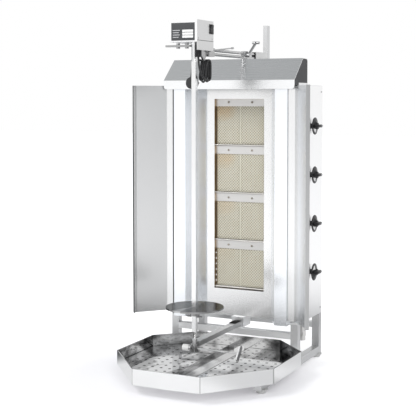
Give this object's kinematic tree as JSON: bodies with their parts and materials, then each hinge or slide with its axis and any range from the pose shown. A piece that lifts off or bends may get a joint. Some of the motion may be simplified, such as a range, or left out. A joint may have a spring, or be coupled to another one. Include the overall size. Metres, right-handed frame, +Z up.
{
  "type": "doner kebab grill",
  "caption": "Free-standing gas vertical broiler with stacked ceramic burners, an upright motor-driven spit on a sliding carriage, swinging side shields and a pull-out fat tray.",
  "frame": {"origin": "on the floor under the middle of the whole machine", "axes": "+Z up, +Y towards the back, +X towards the gas knobs"},
  "size_m": [0.6268, 0.743, 1.143],
  "materials": {
    "satin_steel": "satin brushed",
    "polished_steel": "bright polished",
    "dark_steel": "heat-dark, satin",
    "zinc_steel": "zinc plated",
    "ceramic": "porous matt, heat stained",
    "brass": "cast and turned",
    "black_paint": "matt",
    "black_plastic": "fine grain",
    "white_plastic": "smooth",
    "foot_plastic": "smooth",
    "cord_rubber": "satin"
  },
  "bodies": {
    "stand": {"base_frame_left": "satin_steel", "base_frame_right": "satin_steel", "cross_rails": "satin_steel", "levelling_feet": "foot_plastic", "bottom_panel": "satin_steel", "back_panel": "satin_steel", "side_panel_left": "satin_steel", "side_panel_right": "satin_steel", "top_panel": "satin_steel", "burner_frame": "satin_steel", "reflector_left": "satin_steel", "reflector_right": "satin_steel", "hood": "polished_steel", "flue_liner": "dark_steel", "burner_housings": "zinc_steel", "burner_tiles": "ceramic", "burner_headers": "satin_steel", "flame_rods": "polished_steel", "gas_manifold": "brass", "gas_valves": "brass", "wing_pivots": "zinc_steel", "arm_guide": "black_paint", "column": "satin_steel", "guide_block": "white_plastic", "guide_bush": "black_plastic"},
    "fat_tray": {"fat_tray": "polished_steel"},
    "insert_left": {"insert_left": "polished_steel"},
    "insert_right": {"insert_right": "polished_steel"},
    "wing_left": {"wing_left": "satin_steel"},
    "wing_right": {"wing_right": "satin_steel"},
    "upper_carriage": {"carriage_bracket": "polished_steel", "guide_rods": "polished_steel", "clamp_yoke": "zinc_steel", "pull_rod": "polished_steel", "motor_base": "satin_steel", "motor_cover": "satin_steel", "gearmotor": "zinc_steel", "handle_bar": "polished_steel", "handle_bolts": "zinc_steel", "cable_gland": "black_plastic", "cord_lead": "cord_rubber", "cord_hank": "cord_rubber", "cord_tail": "cord_rubber", "plug": "cord_rubber"},
    "clamp_lever": {"clamp_lever": "zinc_steel"},
    "rocker_switch": {"rocker_switch": "black_plastic"},
    "spit": {"spit_bar": "polished_steel", "support_pin": "zinc_steel", "meat_plate": "polished_steel", "drive_coupling": "polished_steel"},
    "lower_carriage": {"lower_arm": "satin_steel", "bearing_hub": "polished_steel"},
    "lock_shaft": {"lock_shaft": "zinc_steel", "lock_knob": "white_plastic", "lock_lever": "zinc_steel"},
    "knob_1": {"knob_1": "black_plastic"},
    "knob_2": {"knob_2": "black_plastic"},
    "knob_3": {"knob_3": "black_plastic"},
    "knob_4": {"knob_4": "black_plastic"}
  },
  "joints": [
    {"name": "tray_slide", "type": "slide", "parent": "stand", "child": "fat_tray", "axis": [0, -1, 0], "range_m": [0, 0.4]},
    {"name": "insert_left_lift", "type": "slide", "parent": "fat_tray", "child": "insert_left", "axis": [0, 0, 1], "range_m": [0, 0.04]},
    {"name": "insert_right_lift", "type": "slide", "parent": "fat_tray", "child": "insert_right", "axis": [0, 0, 1], "range_m": [0, 0.04]},
    {"name": "wing_left_swing", "type": "hinge", "parent": "stand", "child": "wing_left", "pos_m": [-0.2195, 0.0885, 0.5], "axis": [0, 0, -1], "range_deg": [-14, 40]},
    {"name": "wing_right_swing", "type": "hinge", "parent": "stand", "child": "wing_right", "pos_m": [0.2195, 0.0885, 0.5], "axis": [0, 0, 1], "range_deg": [-14, 40]},
    {"name": "carriage_slide", "type": "slide", "parent": "stand", "child": "upper_carriage", "axis": [0, 1, 0], "range_m": [-0.03, 0.055]},
    {"name": "lower_slide", "type": "slide", "parent": "stand", "child": "lower_carriage", "axis": [0, 1, 0], "range_m": [-0.03, 0.055]},
    {"name": "spit_spin", "type": "hinge", "parent": "upper_carriage", "child": "spit", "pos_m": [0, -0.1765, 0.6], "axis": [0, 0, 1], "continuous": true},
    {"name": "lock_turn", "type": "hinge", "parent": "lower_carriage", "child": "lock_shaft", "pos_m": [0, -0.1765, 0.116], "axis": [1, 0, 0], "range_deg": [-45, 45]},
    {"name": "clamp_turn", "type": "hinge", "parent": "upper_carriage", "child": "clamp_lever", "pos_m": [0.031, 0.1665, 1.0335], "axis": [1, 0, 0], "range_deg": [-5, 50]},
    {"name": "switch_rock", "type": "hinge", "parent": "upper_carriage", "child": "rocker_switch", "pos_m": [0.0475, -0.1564, 1.0995], "axis": [0, -1, 0], "range_deg": [0, 16]},
    {"name": "knob_1_turn", "type": "hinge", "parent": "stand", "child": "knob_1", "pos_m": [0.241, 0.2365, 0.798], "axis": [1, 0, 0], "range_deg": [0, 210]},
    {"name": "knob_2_turn", "type": "hinge", "parent": "stand", "child": "knob_2", "pos_m": [0.241, 0.2365, 0.6353], "axis": [1, 0, 0], "range_deg": [0, 210]},
    {"name": "knob_3_turn", "type": "hinge", "parent": "stand", "child": "knob_3", "pos_m": [0.241, 0.2365, 0.4726], "axis": [1, 0, 0], "range_deg": [0, 210]},
    {"name": "knob_4_turn", "type": "hinge", "parent": "stand", "child": "knob_4", "pos_m": [0.241, 0.2365, 0.3099], "axis": [1, 0, 0], "range_deg": [0, 210]}
  ],
  "couplings": [
    {"joint": "lower_slide", "follows": "carriage_slide", "ratio": 1}
  ]
}
